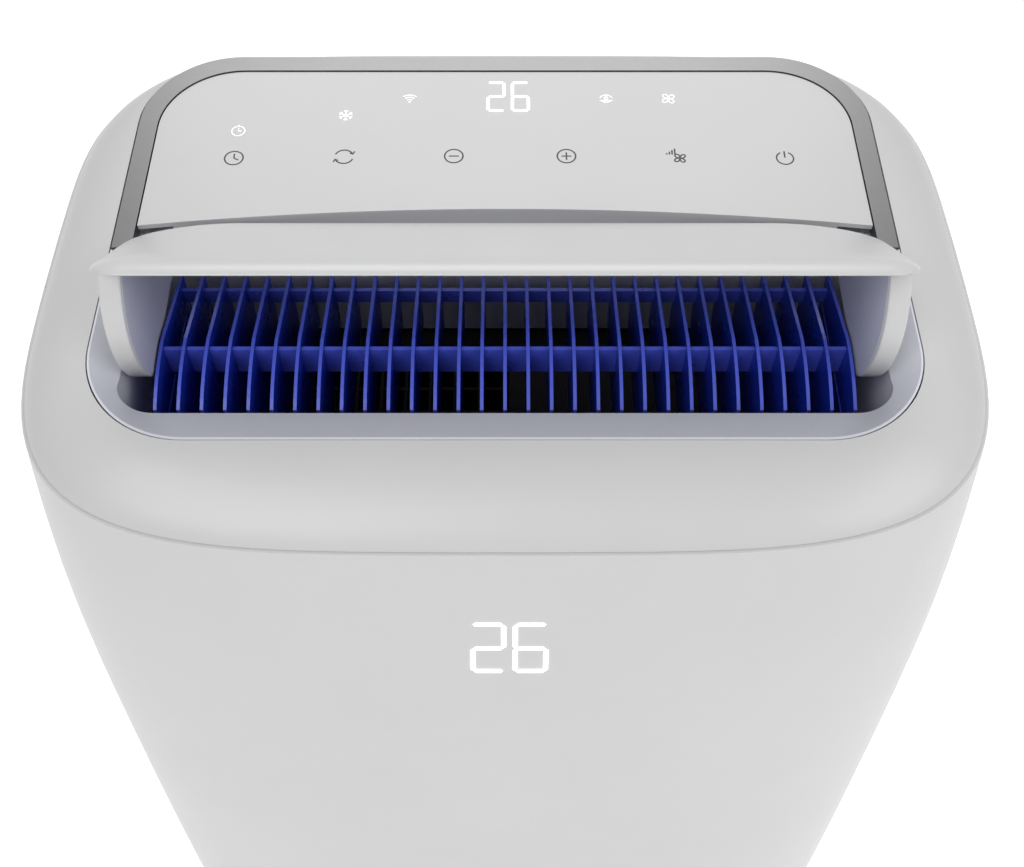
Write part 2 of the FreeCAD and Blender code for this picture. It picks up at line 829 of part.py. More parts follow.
def build_base():
    pan = new_body("base_pan")
    wide = "half_wide - 22"
    front = "front_y + 30"
    rear = "rear_y - 24"
    sketch = sketch_on(pan, "floor", "XY_Plane", "shell_low")
    draw_loop(sketch, (("-(%s)" % wide, front), (wide, front), (wide, rear), ("-(%s)" % wide, rear)))
    pad(pan, sketch, "base_rim")
    doc.recompute()
    pocket = pan.newObject("PartDesign::Pocket", "tray")
    inside = sketch_on(pan, "inside", "XY_Plane", "shell_low + base_thick")
    inner = "half_wide - 22 - base_thick"
    draw_loop(inside, (("-(%s)" % inner, front + " + base_thick"), (inner, front + " + base_thick"),
                       (inner, rear + " - base_thick"), ("-(%s)" % inner, rear + " - base_thick")))
    pocket.Profile = inside
    pocket.Reversed = True
    bind(pocket, "Length", "base_rim")
    round_corners(pan, "base_corner - base_thick", inner)
    round_corners(pan, "base_corner", wide)
    bores = pan.newObject("PartDesign::Pocket", "stem_bores")
    circles = sketch_on(pan, "stems", "XY_Plane", "shell_low")
    for x in ("caster_x", "-caster_x"):
        for y in ("caster_front_y", "caster_rear_y"):
            draw_ring(circles, (x, y), "stem_radius + stem_play")
    bores.Profile = circles
    bores.Reversed = True
    bind(bores, "Length", "base_thick + 1")
    plate = new_body("partition_plate")
    sketch = sketch_on(plate, "plate", "XY_Plane", "partition_z")
    draw_loop(sketch, (("-(%s)" % wide, "front_y + 36"), (wide, "front_y + 36"), (wide, "rear_y - 34"),
                       ("-(%s)" % wide, "rear_y - 34")))
    pad(plate, sketch, "partition_thick")
    round_corners(plate, "base_corner", wide)
    passes = plate.newObject("PartDesign::Pocket", "pipe_passes")
    circles = sketch_on(plate, "passes", "XY_Plane", "partition_z")
    draw_ring(circles, ("suction_x", "evap_front_y - 22"), "pipe_radius + 3")
    draw_ring(circles, ("capillary_x", "cond_front_y - 14"), "pipe_radius")
    passes.Profile = circles
    passes.Reversed = True
    bind(passes, "Length", "partition_thick + 1")
    tray = new_body("drip_tray")
    sketch = sketch_on(tray, "rim", "XY_Plane", "partition_z + partition_thick")
    draw_loop(sketch, (("-evap_half - 8", "evap_front_y - 6"), ("evap_half + 8", "evap_front_y - 6"),
                       ("evap_half + 8", "evap_front_y + evap_thick + 8"),
                       ("-evap_half - 8", "evap_front_y + evap_thick + 8")))
    pad(tray, sketch, "tray_high")
    doc.recompute()
    basin = tray.newObject("PartDesign::Pocket", "basin")
    inside = sketch_on(tray, "basin_line", "XY_Plane", "partition_z + partition_thick + 3")
    draw_loop(inside, (("-evap_half - 5", "evap_front_y - 3"), ("evap_half + 5", "evap_front_y - 3"),
                       ("evap_half + 5", "evap_front_y + evap_thick + 5"),
                       ("-evap_half - 5", "evap_front_y + evap_thick + 5")))
    basin.Profile = inside
    basin.Reversed = True
    bind(basin, "Length", "tray_high")


def build_casters():
    corners = (("front_left", "-caster_x", "caster_front_y"), ("front_right", "caster_x", "caster_front_y"),
               ("rear_left", "-caster_x", "caster_rear_y"), ("rear_right", "caster_x", "caster_rear_y"))
    sockets = []
    for name, x, y in corners:
        fork_wide = "wheel_thick / 2 + fork_gap"
        fork = new_body("caster_fork_" + name)
        sketch = sketch_on(fork, "side", "YZ_Plane", "-(%s) - fork_wall" % fork_wide)
        draw_loop(sketch, (("fork_trail - 7", "wheel_radius - 6"), ("fork_trail + 7", "wheel_radius - 6"),
                           ("fork_trail + 4", "shell_low - 1"), ("-9", "shell_low - 1"),
                           ("-9", "shell_low - 4"), ("fork_trail - 8", "shell_low - 6")))
        pad(fork, sketch, "wheel_thick + 2 * fork_gap + 2 * fork_wall")
        doc.recompute()
        slot = fork.newObject("PartDesign::Pocket", "wheel_slot")
        line = sketch_on(fork, "slot_line", "YZ_Plane", "-(%s)" % fork_wide)
        draw_loop(line, (("-30", "0"), ("60", "0"), ("60", "shell_low - 1.4"), ("-30", "shell_low - 1.4")))
        slot.Profile = line
        slot.Reversed = True
        bind(slot, "Length", "wheel_thick + 2 * fork_gap")
        doc.recompute()
        stem = fork.newObject("PartDesign::AdditiveCylinder", "stem")
        bind(stem, "Radius", "stem_radius")
        bind(stem, "Height", "socket_high + 1")
        bind(stem, "AttachmentOffset.Base.z", "shell_low - 1.2")
        stem.AttachmentSupport = (origin_plane(fork, "XY_Plane"), "")
        stem.MapMode = "FlatFace"
        doc.recompute()
        axle = fork.newObject("PartDesign::AdditiveCylinder", "axle")
        axle.AttachmentSupport = (origin_plane(fork, "YZ_Plane"), "")
        axle.MapMode = "FlatFace"
        bind(axle, "Radius", "axle_radius")
        bind(axle, "Height", "wheel_thick + 2 * fork_gap + 2 * fork_wall")
        bind(axle, "AttachmentOffset.Base.x", "fork_trail")
        bind(axle, "AttachmentOffset.Base.y", "wheel_radius")
        bind(axle, "AttachmentOffset.Base.z", "-(%s) - fork_wall" % fork_wide)
        place(fork, (x, y, 0))
        wheel = new_body("caster_wheel_" + name)
        revolve(wheel, (("wheel_bore", "-wheel_thick / 2"), ("wheel_radius - 2", "-wheel_thick / 2"),
                        ("wheel_radius", "-wheel_thick / 2 + 3"), ("wheel_radius", "wheel_thick / 2 - 3"),
                        ("wheel_radius - 2", "wheel_thick / 2"), ("wheel_bore", "wheel_thick / 2")))
        wheel.Placement = Placement(Vector(0, 0, 0), Rotation(Vector(0, 1, 0), 90))
        place(wheel, (x, "%s + fork_trail" % y, "wheel_radius"))
        socket = doc.addObject("PartDesign::Body", "socket")
        sockets.append(socket)
        revolve(socket, (("stem_radius + stem_play", 0), ("plate_radius", 0), ("plate_radius", "plate_thick"),
                         ("stem_radius + 4", "plate_thick"), ("stem_radius + 4", "socket_high + 4"),
                         ("0", "socket_high + 4"), ("0", "socket_high + 1.5"),
                         ("stem_radius + stem_play", "socket_high + 1.5")))
        place(socket, (x, y, "shell_low + base_thick"))
    keep(group(*sockets), "caster_sockets")


# ---- refrigerant circuit ------------------------------------------------------

def build_compressor():
    body = new_body("compressor")
    revolve(body, (("0", "comp_base_z + 0.4"), ("comp_radius - 12", "comp_base_z + 0.4"),
                   ("comp_radius", "comp_base_z + 14"), ("comp_radius", "comp_base_z + comp_high - 22"),
                   ("comp_radius - 16", "comp_base_z + comp_high - 4"), ("comp_radius - 36", "comp_base_z + comp_high"),
                   ("0", "comp_base_z + comp_high")))
    place(body, ("comp_x", "comp_y", 0))
    feet = []
    mounts = []
    bolts = []
    for i in range(3):
        angle = math.radians(30 + 120 * i)
        x = "comp_x + comp_foot * (%.6f)" % math.cos(angle)
        y = "comp_y + comp_foot * (%.6f)" % math.sin(angle)
        bore = rod((x, y, "comp_base_z - comp_foot_thick - 1"), "screw_radius + 3", "comp_foot_thick + 2")
        feet.append(cut(rod((x, y, "comp_base_z - comp_foot_thick"), "mount_radius + 3", "comp_foot_thick"), bore))
        low = "shell_low + base_thick"
        sleeve = rod((x, y, low), "mount_radius", "comp_base_z - comp_foot_thick - (%s)" % low)
        mounts.append(cut(sleeve, rod((x, y, "%s - 1" % low), "screw_radius + 1.2", "mount_high + 4")))
        shank = rod((x, y, low), "screw_radius + 1", "comp_base_z - shell_low + 4")
        head = rod((x, y, "comp_base_z + 0.2"), "screw_head + 3.4", 4)
        bolts.append(fuse(shank, head))
    plate = cut(rod(("comp_x", "comp_y", "comp_base_z - comp_foot_thick"), "comp_foot", "comp_foot_thick"),
                *[rod(("comp_x + comp_foot * (%.6f)" % math.cos(math.radians(30 + 120 * i)),
                       "comp_y + comp_foot * (%.6f)" % math.sin(math.radians(30 + 120 * i)),
                       "comp_base_z - comp_foot_thick - 1"), "screw_radius + 3", "comp_foot_thick + 2")
                  for i in range(3)])
    keep(fuse(plate, *feet), "compressor_foot_plate")
    keep(group(*mounts), "rubber_mounts")
    keep(group(*bolts), "mount_bolts")
    accu = new_body("accumulator")
    revolve(accu, (("0", 0), ("accu_radius - 8", 0), ("accu_radius", 10), ("accu_radius", "accu_high - 10"),
                   ("accu_radius - 8", "accu_high"), ("0", "accu_high")))
    place(accu, ("suction_x", "comp_y + 22", "comp_base_z + 34"))


def pipe_run(label, points, radius):
    """Copper pipe: straight runs joined by tangent arcs."""
    bend = radius * 3
    path = []
    start = points[0]
    for i in range(1, len(points) - 1):
        before = (points[i - 1] - points[i]).normalize()
        after = (points[i + 1] - points[i]).normalize()
        half = before.getAngle(after) / 2
        back = bend / math.tan(half)
        near = points[i] + before * back
        far = points[i] + after * back
        middle = points[i] + (before + after).normalize() * (bend / math.sin(half) - bend)
        path.append(Part.LineSegment(start, near).toShape())
        path.append(Part.Arc(near, middle, far).toShape())
        start = far
    path.append(Part.LineSegment(start, points[-1]).toShape())
    wire = Part.Wire(path)
    along = (points[1] - points[0]).normalize()
    ring = Part.Wire([Part.Circle(points[0], along, radius).toShape()])
    shaped(wire.makePipeShell([ring], True, False), label)


def build_pipes():
    radius = size("pipe_radius")
    x = size("comp_x")
    y = size("comp_y")
    top = size("comp_base_z") + size("comp_high")
    coil_y = size("cond_front_y")
    pipe_run("discharge_pipe", [Vector(x + 10, y - 5, top), Vector(x + 10, y - 5, top + 40),
                                Vector(x + 10, coil_y - 24, top + 40),
                                Vector(-size("cond_half") + 30, coil_y - 24, top + 40),
                                Vector(-size("cond_half") + 30, coil_y - 24, 292),
                                Vector(-size("cond_half") + 30, coil_y, 292)], radius)
    ax = size("suction_x")
    ay = y + 22
    az = size("comp_base_z") + 34 + size("accu_high")
    pipe_run("suction_pipe", [Vector(ax, ay, az), Vector(ax, ay, az + 96),
                              Vector(ax, size("evap_front_y") - 22, az + 96),
                              Vector(ax, size("evap_front_y") - 22, 400), Vector(-150, size("evap_front_y") - 22, 400),
                              Vector(-150, size("evap_front_y"), 400)], radius)
    cx = size("capillary_x")
    pipe_run("capillary_pipe", [Vector(150, coil_y, 90), Vector(150, coil_y - 14, 90), Vector(cx, coil_y - 14, 90),
                                Vector(cx, coil_y - 14, 440), Vector(150, coil_y - 14, 440),
                                Vector(150, coil_y, 440)], size("capillary_radius"))


def build_coil(name, half, front, thick, low, high):
    """Fin pack of upright plates with the tube bends that stand out at one end."""
    pitch = size("fin_gap")
    count = int((2 * size(half)) // pitch)
    fins = []
    for i in range(count):
        fins.append(Part.makeBox(size("fin_thick"), size(thick), size(high),
                                 Vector(-size(half) + i * pitch, size(front), size(low))))
    last = -size(half) + (count - 1) * pitch + size("fin_thick")
    rows = 7
    step = size(high) / rows
    for i in range(rows):
        z = size(low) + step * (i + 0.5)
        for y in (0.3, 0.7):
            fins.append(Part.makeCylinder(size("tube_radius"), last + size(half) + 16,
                                          Vector(-size(half) - 8, size(front) + y * size(thick), z), Vector(1, 0, 0)))
    for i in range(rows - 1):
        z = size(low) + step * (i + 1)
        for side, y in ((-1, 0.3), (1, 0.7)):
            x = -size(half) - 8 if side < 0 else last + 8
            fins.append(Part.makeBox(2 * size("tube_radius"), 6, step + 6,
                                     Vector(x - size("tube_radius"), size(front) + y * size(thick) - 3,
                                            z - step / 2 - 3)))
    body = fins[0].multiFuse(fins[1:])
    shaped(body, name)


def build_blower(name, x, z, front, radius, deep, wheel_radius, wheel_deep, shaft_from_front):
    """Scroll casing, bladed wheel on its shaft, and the motor that turns it."""
    wall = size("scroll_wall")
    cx, cz, y0 = size(x), size(z), size(front)
    big = size(radius)
    outer = Part.makeCylinder(big, size(deep), Vector(cx, y0, cz), Vector(0, 1, 0))
    inner = Part.makeCylinder(big - wall, size(deep) - 2 * wall, Vector(cx, y0 + wall, cz), Vector(0, 1, 0))
    eye = Part.makeCylinder(size(wheel_radius) - 14, wall + 2, Vector(cx, y0 + size(deep) - wall - 1, cz),
                            Vector(0, 1, 0))
    shaft_hole = Part.makeCylinder(size("shaft_radius") + 4, wall + 2, Vector(cx, y0 - 1, cz), Vector(0, 1, 0))
    return outer, inner, eye, shaft_hole


def build_wheel(label, x, z, front, wheel_radius, wheel_deep, deep):
    cx, cz = size(x), size(z)
    y0 = size(front) + (size(deep) - size(wheel_deep)) / 2
    radius = size(wheel_radius)
    long = size(wheel_deep)
    disc = Part.makeCylinder(radius, 2.5, Vector(cx, y0, cz), Vector(0, 1, 0))
    hub = Part.makeCylinder(size("hub_radius"), 30, Vector(cx, y0, cz), Vector(0, 1, 0))
    rim = Part.makeCylinder(radius, 4, Vector(cx, y0 + long - 4, cz), Vector(0, 1, 0)).cut(
        Part.makeCylinder(radius - size("blade_deep"), 8, Vector(cx, y0 + long - 6, cz), Vector(0, 1, 0)))
    parts = [hub, rim]
    blade = Part.makeBox(size("blade_deep") - 1, long - 4, size("blade_thick"),
                         Vector(cx + radius - size("blade_deep"), y0 + 1, cz))
    blade.rotate(Vector(cx + radius - size("blade_deep") / 2, y0, cz), Vector(0, 1, 0), 28)
    blade = blade.common(Part.makeCylinder(radius - 0.2, long, Vector(cx, y0, cz), Vector(0, 1, 0)))
    for i in range(int(size("blade_count"))):
        copy = blade.copy()
        copy.rotate(Vector(cx, y0, cz), Vector(0, 1, 0), 360 / size("blade_count") * i)
        parts.append(copy)
    shape = disc.multiFuse(parts)
    shape = shape.cut(Part.makeCylinder(size("shaft_radius"), 100, Vector(cx, y0 - 10, cz), Vector(0, 1, 0)))
    shaped(shape, label)


def build_upper_blower():
    outer, inner, eye, shaft_hole = build_blower("up", "up_fan_x", "up_fan_z", "up_fan_front_y", "up_scroll_radius",
                                                 "up_scroll_deep", "up_wheel_radius", "up_wheel_deep", True)
    wall = size("scroll_wall")
    cx, cz, y0, deep = size("up_fan_x"), size("up_fan_z"), size("up_fan_front_y"), size("up_scroll_deep")
    left = size("neck_left")
    wide = size("neck_right") - left
    high = size("neck_top") - cz
    neck = Part.makeBox(wide, deep, high, Vector(left, y0, cz))
    bore = Part.makeBox(wide - 2 * wall, deep - 2 * wall, high + 20, Vector(left + wall, y0 + wall, cz))
    case = outer.fuse(neck).cut(inner.fuse(bore)).cut(eye).cut(shaft_hole)
    shaped(case, "upper_blower_housing")
    build_wheel("upper_blower_wheel", "up_fan_x", "up_fan_z", "up_fan_front_y", "up_wheel_radius", "up_wheel_deep",
                "up_scroll_deep")


def build_lower_blower():
    outer, inner, eye, shaft_hole = build_blower("low", "low_fan_x", "low_fan_z", "low_fan_front_y",
                                                 "low_scroll_radius", "low_scroll_deep", "low_wheel_radius",
                                                 "low_wheel_deep", True)
    wall = size("scroll_wall")
    case = outer.cut(inner).cut(eye).cut(shaft_hole)
    shaped(case, "lower_blower_housing")
    build_wheel("lower_blower_wheel", "low_fan_x", "low_fan_z", "low_fan_front_y", "low_wheel_radius",
                "low_wheel_deep", "low_scroll_deep")


def build_fan_motors():
    for label, x, z, front, deep, wheel in (("upper", "up_fan_x", "up_fan_z", "up_fan_front_y", "up_scroll_deep",
                                             "up_wheel_deep"),
                                            ("lower", "low_fan_x", "low_fan_z", "low_fan_front_y", "low_scroll_deep",
                                             "low_wheel_deep")):
        can = rod((x, front + " - motor_long - 1", z), "motor_radius", "motor_long")
        boss = rod((x, front + " - 1.2", z), "shaft_radius + 3", 1.2)
        keep(cut(fuse(can, boss), rod((x, front + " - 22", z), "shaft_radius + 0.05", 40, "y")), label + "_fan_motor")
        can.Placement = Placement(Vector(0, 0, 0), Rotation(Vector(1, 0, 0), -90))
        place(can, (x, front + " - motor_long - 1", z))
        boss.Placement = Placement(Vector(0, 0, 0), Rotation(Vector(1, 0, 0), -90))
        place(boss, (x, front + " - 1.2", z))
        keep(rod((x, front + " - 20", z), "shaft_radius", "%s + 20 - (%s - %s) / 2" % (deep, deep, wheel), "y"),
             label + "_fan_shaft")


# ---- electrical box and small parts ---------------------------------------------

def build_controls():
    walls = cut(block(("control_x", "control_y", "control_z"), "control_wide", "control_deep", "control_high"),
                block(("control_x + 2", "control_y + 2", "control_z + 2"), "control_wide - 4", "control_deep",
                      "control_high - 4"))
    keep(walls, "control_box")
    keep(block(("control_x", "control_y + control_deep + 0.3", "control_z"), "control_wide", 1.2, "control_high"),
         "control_box_lid")
    keep(block(("control_x + 8", "control_y + 6", "control_z + 8"), "control_wide - 16", "board_thick",
               "control_high - 16"), "main_board")
    cap = new_body("run_capacitor")
    revolve(cap, (("0", 0), ("cap_radius", 0), ("cap_radius", "cap_high"), ("cap_radius - 4", "cap_high + 1"),
                  ("0", "cap_high + 1")))
    place(cap, (-186, -126, "partition_z + partition_thick"))
    swing = rod((0, 0, 0), "flap_motor_radius", "flap_motor_long", "x")
    place(swing, ("bevel_half + well_wall + boss_long + 1", "swing_t", "swing_n"))
    on_top_group(swing, "swing_motor")
    flap = rod((0, 0, 0), "flap_motor_radius", "flap_motor_long", "x")
    place(flap, ("-(bevel_half + well_wall + boss_long + 1) - flap_motor_long", "flap_axis_t", "flap_axis_n - 20"))
    on_top_group(flap, "flap_motor")
    keep(rod((150, 60, "shell_low + base_thick"), "float_radius", "float_high"), "float_switch")


def on_top_group(thing, label):
    keep(group(thing), label)
    on_top(kept[-1])


def window_box(x, half, low, high, inset):
    """Upright block through the back wall, for cutting out a grille or its filter."""
    return Part.makeBox(2 * half - 2 * inset, 90, high - 2 * inset,
                        Vector(x - half + inset, size("rear_y") - 70, low + inset))


def build_grille(name, x, half, low, high):
    """Louvred grille that follows the curve of the back wall, with its filter behind."""
    rim = size("grille_rim")
    skin = casing(size("grille_step")).cut(casing(size("grille_step") + size("grille_thick")))
    grille = skin.common(window_box(x, half, low, high, 0))
    pitch = size("slat_pitch")
    slot = pitch - size("slat_high")
    count = int((high - 2 * rim) // pitch)
    columns = max(2, round(half / 33))
    wide = (2 * half - 2 * rim) / columns
    first = low + (high - count * pitch + size("slat_high")) / 2
    slots = []
    for i in range(count):
        for j in range(columns):
            slots.append(Part.makeBox(wide - 3, 90, slot, Vector(x - half + rim + j * wide + 1.5,
                                                                 size("rear_y") - 70, first + i * pitch)))
    shaped(grille.cut(slots), name + "_intake_grille")
    back = size("grille_step") + size("grille_thick") + 0.2
    sheet = casing(back).cut(casing(back + size("filter_thick")))
    shaped(sheet.common(window_box(x, half, low, high, 3)), name + "_air_filter")


def build_collar():
    low = "rear_y - collar_inside"
    flange = rod(("collar_x", low, "collar_z"), "collar_flange", 3, "y")
    sleeve = rod(("collar_x", low, "collar_z"), "collar_radius", "collar_long", "y")
    stop = rod(("collar_x", "rear_y + 1.4", "collar_z"), "collar_stop", 3, "y")
    keep(cut(fuse(flange, sleeve, stop), rod(("collar_x", low + " - 5", "collar_z"), "collar_inner", 80, "y")),
         "exhaust_collar")


def build_drains():
    start = "rear_y - drain_inside"
    spouts = []
    for name, z in (("upper", "up_drain_z"), ("lower", "low_drain_z")):
        spout = fuse(rod(("drain_x", start, z), "drain_radius", "drain_long", "y"),
                     rod(("drain_x", start, z), "drain_radius + 4", 2, "y"),
                     rod(("drain_x", "rear_y + 1.4", z), "drain_radius + 3", 2, "y"))
        spouts.append(cut(spout, rod(("drain_x", start + " - 1", z), "drain_bore", "drain_long + 4", "y")))
        end = start + " + drain_long"
        keep(fuse(rod(("drain_x", end + " - 9", z), "plug_radius", 9.5, "y"),
                  rod(("drain_x", end + " + 0.3", z), "plug_head", 3, "y"),
                  block(("drain_x - 1.5", end + " + 3", z + " - 7"), 3, 5, 14)), name + "_drain_plug")
    keep(group(*spouts), "drain_spouts")


def build_inlet():
    gland = fuse(rod(("gland_x", "rear_y - 22", "gland_z"), "gland_radius", 22, "y"),
                 rod(("gland_x", "rear_y - 3", "gland_z"), "gland_radius + 4", 4, "y"))
    keep(cut(gland, rod(("gland_x", "rear_y - 24", "gland_z"), "gland_bore", 40, "y")), "cord_inlet")


def build_handles():
    """Finger cups let into both side walls, trimmed to the wall's curve."""
    cups = []
    long = size("handle_long")
    high = size("handle_high")
    deep = size("handle_deep")
    wall = size("handle_wall")
    trim = casing(size("gap"))
    for side in (-1, 1):
        low = min(side * (size("half_wide") - deep), side * (size("half_wide") + 10))
        cup = Part.makeBox(deep + 10, long, high, Vector(low, size("handle_y") - long / 2, size("handle_z")))
        inside = Part.makeBox(deep + 10, long - 2 * wall, high - 2 * wall,
                              Vector(low + side * wall, size("handle_y") - long / 2 + wall, size("handle_z") + wall))
        cups.append(cup.cut(inside).common(trim))
    shaped(Part.makeCompound(cups), "handle_cups")


def build_back():
    build_grille("upper", 0, size("grille_half"), size("up_grille_z"), size("up_grille_high"))
    build_grille("lower", size("low_grille_x"), size("low_grille_half"), size("low_grille_z"),
                 size("low_grille_high"))
    build_collar()
    build_drains()
    build_inlet()
    build_handles()


def check_pieces():
    doc.recompute()
    for thing in doc.Objects:
        if "Invalid" in thing.State or "Error" in thing.State:
            raise RuntimeError("failed object " + thing.Label + " " + str(thing.State))
    for thing in kept:
        if thing.Shape.isNull() or not thing.Shape.isValid():
            raise RuntimeError("bad shape " + thing.Label)


def main():
    build_casing()
    build_outlet_frame()
    build_trim()
    build_panel()
    build_flap()
    build_swing_grille()
    build_guard()
    build_electronics()
    build_base()
    build_casters()
    build_compressor()
    build_pipes()
    build_coil("evaporator_coil", "evap_half", "evap_front_y", "evap_thick", "evap_z", "evap_high")
    build_coil("condenser_coil", "cond_half", "cond_front_y", "cond_thick", "cond_z", "cond_high")
    build_upper_blower()
    build_lower_blower()
    build_fan_motors()
    build_controls()
    build_back()
    check_pieces()
    os.makedirs("parts", exist_ok=True)
    for thing in kept:
        thing.Shape.exportStep("parts/%s.step" % thing.Label)


main()
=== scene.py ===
import bmesh
import bpy
import json
import math
from mathutils import Matrix, Vector


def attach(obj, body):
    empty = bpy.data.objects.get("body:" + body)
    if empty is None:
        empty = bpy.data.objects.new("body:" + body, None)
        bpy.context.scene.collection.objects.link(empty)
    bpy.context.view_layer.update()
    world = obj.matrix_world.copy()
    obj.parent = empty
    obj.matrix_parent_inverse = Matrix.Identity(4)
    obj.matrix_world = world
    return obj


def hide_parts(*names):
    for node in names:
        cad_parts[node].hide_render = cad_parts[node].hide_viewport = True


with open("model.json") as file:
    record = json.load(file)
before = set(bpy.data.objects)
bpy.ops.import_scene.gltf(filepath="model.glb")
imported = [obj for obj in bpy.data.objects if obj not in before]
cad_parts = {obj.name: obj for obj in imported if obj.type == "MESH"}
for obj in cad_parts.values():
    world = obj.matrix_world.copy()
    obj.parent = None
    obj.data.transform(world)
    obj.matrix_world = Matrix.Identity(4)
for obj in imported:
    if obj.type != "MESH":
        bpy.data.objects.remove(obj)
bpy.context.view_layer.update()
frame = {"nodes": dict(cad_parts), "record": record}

nodes = frame["nodes"]

# the sloping top: across x, up the slope t, square to it n
topPlane = dict(slope=10, y=-0.1385, z=0.7219)
topMatrix = (Matrix.Translation((0, topPlane["y"], topPlane["z"]))
             @ Matrix.Rotation(math.radians(topPlane["slope"]), 4, "X"))


# shared mesh helpers

def finish(name, bm, material, body, matrix, smooth=35, replaced=()):
    # settles a drawn piece: placed, normals out, smooth with sharp creases, tied to its body
    bmesh.ops.transform(bm, matrix=matrix, verts=bm.verts[:])
    bmesh.ops.recalc_face_normals(bm, faces=bm.faces[:])
    mesh = bpy.data.meshes.new(name)
    bm.to_mesh(mesh)
    bm.free()
    piece = bpy.data.objects.new(name, mesh)
    bpy.context.scene.collection.objects.link(piece)
    mesh.materials.append(material)
    mesh.shade_smooth()
    mesh.set_sharp_from_angle(angle=math.radians(smooth))
    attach(piece, body)
    if replaced:
        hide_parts(*replaced)
    return piece


def roundedOutline(half, front, rear, cornerFront, cornerRear, steps):
    # rounded rectangle, counter-clockwise from the right front corner
    points = []
    corners = ((1, front + cornerFront, cornerFront, -90), (1, rear - cornerRear, cornerRear, 0),
               (-1, rear - cornerRear, cornerRear, 90), (-1, front + cornerFront, cornerFront, 180))
    for side, middle, radius, start in corners:
        for i in range(steps + 1):
            angle = math.radians(start + 90 * i / steps)
            points.append((side * (half - radius) + radius * math.cos(angle),
                           middle + radius * math.sin(angle)))
    return points


def addPlate(bm, points, low, high, bevel=0, segments=3):
    # closed outline raised from low to high along z, its rims rounded
    start = len(bm.verts)
    verts = [bm.verts.new((x, y, low)) for x, y in points]
    face = bm.faces.new(verts)
    grown = bmesh.ops.extrude_face_region(bm, geom=[face])
    top = [v for v in grown["geom"] if isinstance(v, bmesh.types.BMVert)]
    bmesh.ops.translate(bm, verts=top, vec=(0, 0, high - low))
    bm.normal_update()
    bm.verts.ensure_lookup_table()
    if bevel:
        mine = set(bm.verts[start:])
        rimAngle = 0.6
        edges = [e for e in bm.edges if e.verts[0] in mine and len(e.link_faces) == 2
                 and e.calc_face_angle(0) > rimAngle]
        bmesh.ops.bevel(bm, geom=edges, offset=bevel, offset_type="OFFSET", segments=segments, profile=0.5,
                        affect="EDGES", material=-1, clamp_overlap=True)


def sideways(x):
    # an outline drawn in (t, n) stands up across x
    return Matrix(((0, 0, 1, x), (1, 0, 0, 0), (0, 1, 0, 0), (0, 0, 0, 1)))


# materials

def newMaterial(name):
    material = bpy.data.materials.new(name)
    material.use_nodes = True
    return material, material.node_tree, material.node_tree.nodes["Principled BSDF"]


def makeGroup(name, inputs, outputs):
    group = bpy.data.node_groups.new(name, "ShaderNodeTree")
    for label, value in inputs:
        kind = "NodeSocketColor" if isinstance(value, tuple) else "NodeSocketFloat"
        socket = group.interface.new_socket(name=label, in_out="INPUT", socket_type=kind)
        socket.default_value = value
    for label, kind in outputs:
        group.interface.new_socket(name=label, in_out="OUTPUT", socket_type=kind)
    return group, group.nodes.new("NodeGroupInput"), group.nodes.new("NodeGroupOutput")


def noiseNode(tree, scale, detail=2, rough=0.5):
    node = tree.nodes.new("ShaderNodeTexNoise")
    node.inputs["Scale"].default_value = scale
    node.inputs["Detail"].default_value = detail
    node.inputs["Roughness"].default_value = rough
    return node


surfaceOutputs = (("Colour", "NodeSocketColor"), ("Roughness", "NodeSocketFloat"),
                  ("Height", "NodeSocketFloat"))


def buildMouldGroup():
    # moulded plastic: fine spark-eroded grain, slow colour drift and a little handling haze
    group, ins, outs = makeGroup("mouldedSurface",
                                 (("Colour", (0.8, 0.8, 0.8, 1)), ("Drift", 0.03), ("Grain Scale", 1800.0),
                                  ("Rough", 0.4), ("Rough Spread", 0.08)),
                                 surfaceOutputs)
    links = group.links
    place = group.nodes.new("ShaderNodeTexCoord")
    grain = noiseNode(group, 1800, 1)
    drift = noiseNode(group, 9, 3)
    haze = noiseNode(group, 38, 4, 0.6)
    for node in (grain, drift, haze):
        links.new(place.outputs["Object"], node.inputs["Vector"])
    links.new(ins.outputs["Grain Scale"], grain.inputs["Scale"])
    shade = group.nodes.new("ShaderNodeMapRange")
    shade.inputs["From Min"].default_value = 0.3
    shade.inputs["From Max"].default_value = 0.7
    shade.inputs["To Max"].default_value = 0
    links.new(drift.outputs["Fac"], shade.inputs["Value"])
    links.new(ins.outputs["Drift"], shade.inputs["To Min"])
    darken = group.nodes.new("ShaderNodeHueSaturation")
    less = group.nodes.new("ShaderNodeMath")
    less.operation = "SUBTRACT"
    less.inputs[0].default_value = 1
    links.new(shade.outputs["Result"], less.inputs[1])
    links.new(less.outputs["Value"], darken.inputs["Value"])
    links.new(ins.outputs["Colour"], darken.inputs["Color"])
    links.new(darken.outputs["Color"], outs.inputs["Colour"])
    spread = group.nodes.new("ShaderNodeMath")
    spread.operation = "MULTIPLY_ADD"
    links.new(haze.outputs["Fac"], spread.inputs[0])
    links.new(ins.outputs["Rough Spread"], spread.inputs[1])
    links.new(ins.outputs["Rough"], spread.inputs[2])
    links.new(spread.outputs["Value"], outs.inputs["Roughness"])
    links.new(grain.outputs["Fac"], outs.inputs["Height"])
    return group


